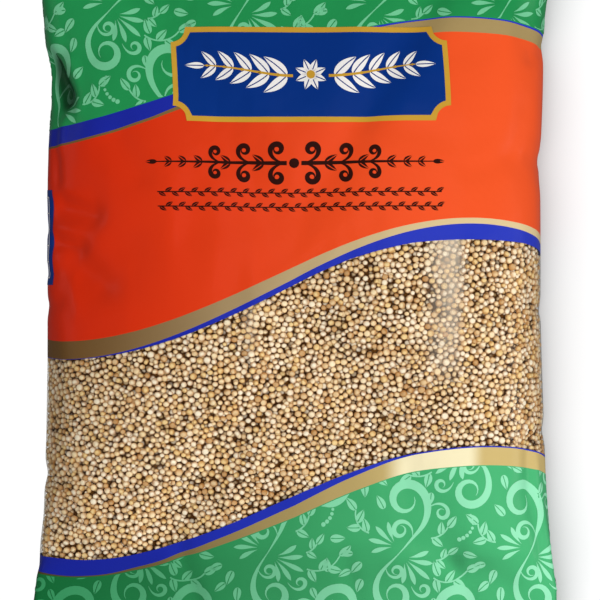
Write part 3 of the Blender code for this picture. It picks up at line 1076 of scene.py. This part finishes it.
def branch(ink, berries, heading, hand, length, leaf_length, leaf_width, pairs):
    """Half of a branch ornament: a stem, pairs of smaller and smaller leaves, and a berry after each."""
    stem = bent_line((hand * 5.0, -0.4), heading, length, hand * 1.6, -hand * 1.6, 30)
    stroke(berries, stem, np.linspace(0.8, 0.3, len(stem)))
    way = np.degrees(np.arctan2(*np.gradient(stem, axis=0).T[::-1]))
    for number in range(pairs):
        i = int(round((number + 0.4) * (len(stem) - 1) / pairs))
        size = 1 - 0.38 * number / pairs
        for side in (-1, 1):
            leaf(ink, stem[i], way[i] + side * 48, leaf_length * size, leaf_width * size, -side * 2.5, 0.3)
        dot(berries, stem[min(i + 3, len(stem) - 1)], size)
    leaf(ink, stem[-1], way[-1], leaf_length * 0.7, leaf_width * 0.6, 0, 0.3)


gold_ink = printed_film("gold_ink", (204, 158, 54), (190, 144, 44))
panel_ink = printed_film("panel_ink", (0, 48, 126), (0, 43, 118))
white_ink = printed_film("white_ink", (240, 236, 232), (232, 228, 224))
print_on_film("panel_border", turned(ticket(0), PANEL_MIDDLE), gold_ink, lift=2 * PRINT_LIFT)
print_on_film("panel_field", turned(ticket(PANEL_BORDER), PANEL_MIDDLE), panel_ink, lift=3 * PRINT_LIFT)
leaves, berries = [], []
for heading, hand in ((0, 1), (180, -1)):
    branch(leaves, berries, heading, hand, 25.0, 8.2, 3.0, 5)
for number in range(8):
    leaf(leaves, (0, 0), 22.5 + 45 * number, 4.6, 2.2, 0, 0.3)
dot(berries, (0, 0), 2.4)
print_on_film("panel_leaves", turned(leaves, PANEL_MIDDLE), white_ink, lift=4 * PRINT_LIFT)
print_on_film("panel_berries", turned(berries, PANEL_MIDDLE), gold_ink, lift=5 * PRINT_LIFT)

# Below it, in dark ink on the orange, is a divider of scrolls and leaves, and under that two leafy lines.
DIVIDER_MIDDLE = (0.1 * MM, 27.2 * MM)
VINE_HALF_WIDTH = 39.5
VINES = ((1.1 * MM, 18.8 * MM), (1.1 * MM, 14.8 * MM))


def half_divider(ink):
    """The right half of the divider: a thinning stem with three pairs of scrolls, then pairs of leaves."""
    stroke(ink, bent_line((2, 0), 0, 38.5, 0, 0, 20), 1.2 * np.linspace(1, 0.2, 21))
    for start, length, tightest, width in ((2.5, 15, 66, 1.6), (12.0, 13.5, 72, 1.45), (20.5, 11.5, 84, 1.3)):
        for side in (-1, 1):
            curl(ink, (start, 0), side * 14, length, side * 0.5, side * tightest, width)
    for start in (8.5, 18.0, 26.0, 30.5, 34.5):
        for side in (-1, 1):
            leaf(ink, (start, 0), side * 40, 4.6 - 0.06 * start, 1.9 - 0.02 * start, -side * 3)
    leaf(ink, (38.5, 0), 0, 3.4, 1.3, 0)


def leafy_line():
    """A thin line with small leaves above and below it in turn."""
    ink = []
    line = bent_line((-VINE_HALF_WIDTH, 0), 0, 2 * VINE_HALF_WIDTH, 0, 0, 60)
    stroke(ink, line, np.full(61, 0.3))
    for number in range(44):
        side = 1 if number % 2 else -1
        start = -VINE_HALF_WIDTH + (number + 0.3) * 2 * VINE_HALF_WIDTH / 44
        leaf(ink, (start, 0), side * 38, 2.3, 1.05, -side * 6, 0.12, 6)
    return ink


dark_ink = printed_film("dark_ink", (44, 12, 6), (38, 10, 5))
divider = []
for hand in (1, -1):
    half = []
    half_divider(half)
    divider += [(places * (hand, 1), faces[:, ::hand]) for places, faces in half]
dot(divider, (0, 0), 2.8)
print_on_film("divider", turned(divider, DIVIDER_MIDDLE), dark_ink)
vines = [shape for middle in VINES for shape in turned(leafy_line(), middle)]
print_on_film("leafy_lines", vines, dark_ink)

# The back of the pack has a plain dark blue panel on the orange, beside the seam, with a white frame and
# white rules. It reaches a little way round the left side, where the photo shows its edge.
BACK_PANEL = (-147 * MM, -71.0 * MM, -7 * MM, 19.6 * MM)
RULE_HALF_WIDTH = 0.15 * MM


def rectangle(left, right, low, high, columns, rows):
    across = np.linspace(left, right, columns + 1)
    up = np.linspace(low, high, rows + 1)
    places = np.stack([np.repeat(across, rows + 1), np.tile(up, columns + 1)], 1)
    return [(places, net(columns, rows))]


left, right, low, high = BACK_PANEL
print_on_film("back_panel", rectangle(left, right, low, high, 75, 27), panel_ink)
left, right, low, high = left + 3 * MM, right - 2 * MM, low + 2 * MM, high - 2 * MM
rules = []
for height in np.linspace(low, high, 6):
    rules += rectangle(left, right, height - RULE_HALF_WIDTH, height + RULE_HALF_WIDTH, 70, 1)
for edge in (left, right):
    rules += rectangle(edge - RULE_HALF_WIDTH, edge + RULE_HALF_WIDTH, low, high, 1, 24)
print_on_film("back_rules", rules, white_ink, lift=2 * PRINT_LIFT)

# The stage: a plain pale floor, and a camera that looks straight down on the bag as it lies, from so far off
# that the bag shows as flat as in the photo. Soft lights above it, at its right and at its left light the
# bag alone, and one more lights the floor alone.
PIXEL = 0.28 * MM
SENSOR_WIDTH = 36
VIEW_MIDDLE = (1.4 * MM, -11.2 * MM)
VIEW_WIDTH = 600 * PIXEL
CAMERA_HEIGHT = 1.25
EDGE_PLANE = 15 * MM

floor = added(bpy.ops.mesh.primitive_plane_add, size=6, location=(0, 0, -0.2 * MM))
floor.name = "floor"
floor_material, place, to_surface = new_material("floor_paper")
to_surface(place.node("BsdfPrincipled", {
    "Base Color": place.noise(40, 2.0).mixed((0.79, 0.79, 0.79, 1), (0.81, 0.81, 0.81, 1)),
    "Roughness": 0.8, "Emission Color": (1, 1, 1, 1), "Emission Strength": 0.47}))
floor.data.materials.append(floor_material)
floor.visible_glossy = False
floor.visible_diffuse = False

camera = linked("camera", bpy.data.cameras.new("camera"))
camera.location = (*VIEW_MIDDLE, CAMERA_HEIGHT)
camera.data.sensor_width = SENSOR_WIDTH
camera.data.lens = SENSOR_WIDTH * (CAMERA_HEIGHT - EDGE_PLANE) / VIEW_WIDTH
camera.data.clip_end = 20
bpy.context.scene.camera = camera


def softbox(name, place, size, power, glossy=True):
    """A square of soft light for all but the floor. Only a glossy one shows in the film's gloss."""
    light = bpy.data.lights.new(name, "AREA")
    light.size = size
    light.energy = power
    lamp = linked(name, light)
    lamp.location = place
    lamp.rotation_euler = (-Vector(place)).to_track_quat("-Z", "Y").to_euler()
    lamp.visible_glossy = glossy
    lit = bpy.data.collections.new(name + "_lit")
    lit.objects.link(floor)
    lit.collection_objects[0].light_linking.link_state = "EXCLUDE"
    lamp.light_linking.receiver_collection = lit
    return lamp


softbox("fill_light", (0.42, -0.1, 1.75), 1.3, 22, glossy=False)
softbox("key_light", (1.0, -0.45, 1.15), 0.7, 8, glossy=False)
softbox("left_light", (-1.15, -0.3, 1.1), 0.8, 4.5, glossy=False)
softbox("right_sheen", (1.5, -0.3, 0.45), 0.5, 2)
softbox("left_sheen", (-1.5, 0.2, 0.45), 0.5, 0.5)
floor_light = softbox("floor_light", (-0.75, 0.0, 1.7), 1.6, 28, glossy=False)
floor_light.light_linking.receiver_collection.collection_objects[0].light_linking.link_state = "INCLUDE"
world = bpy.data.worlds.new("studio")
bpy.context.scene.world = world
world.use_nodes = True
sky = world.node_tree.nodes["Background"].inputs
sky["Color"].default_value = (0.95, 0.97, 1.0, 1)
sky["Strength"].default_value = 0.15
bpy.context.scene.view_settings.view_transform = "Standard"
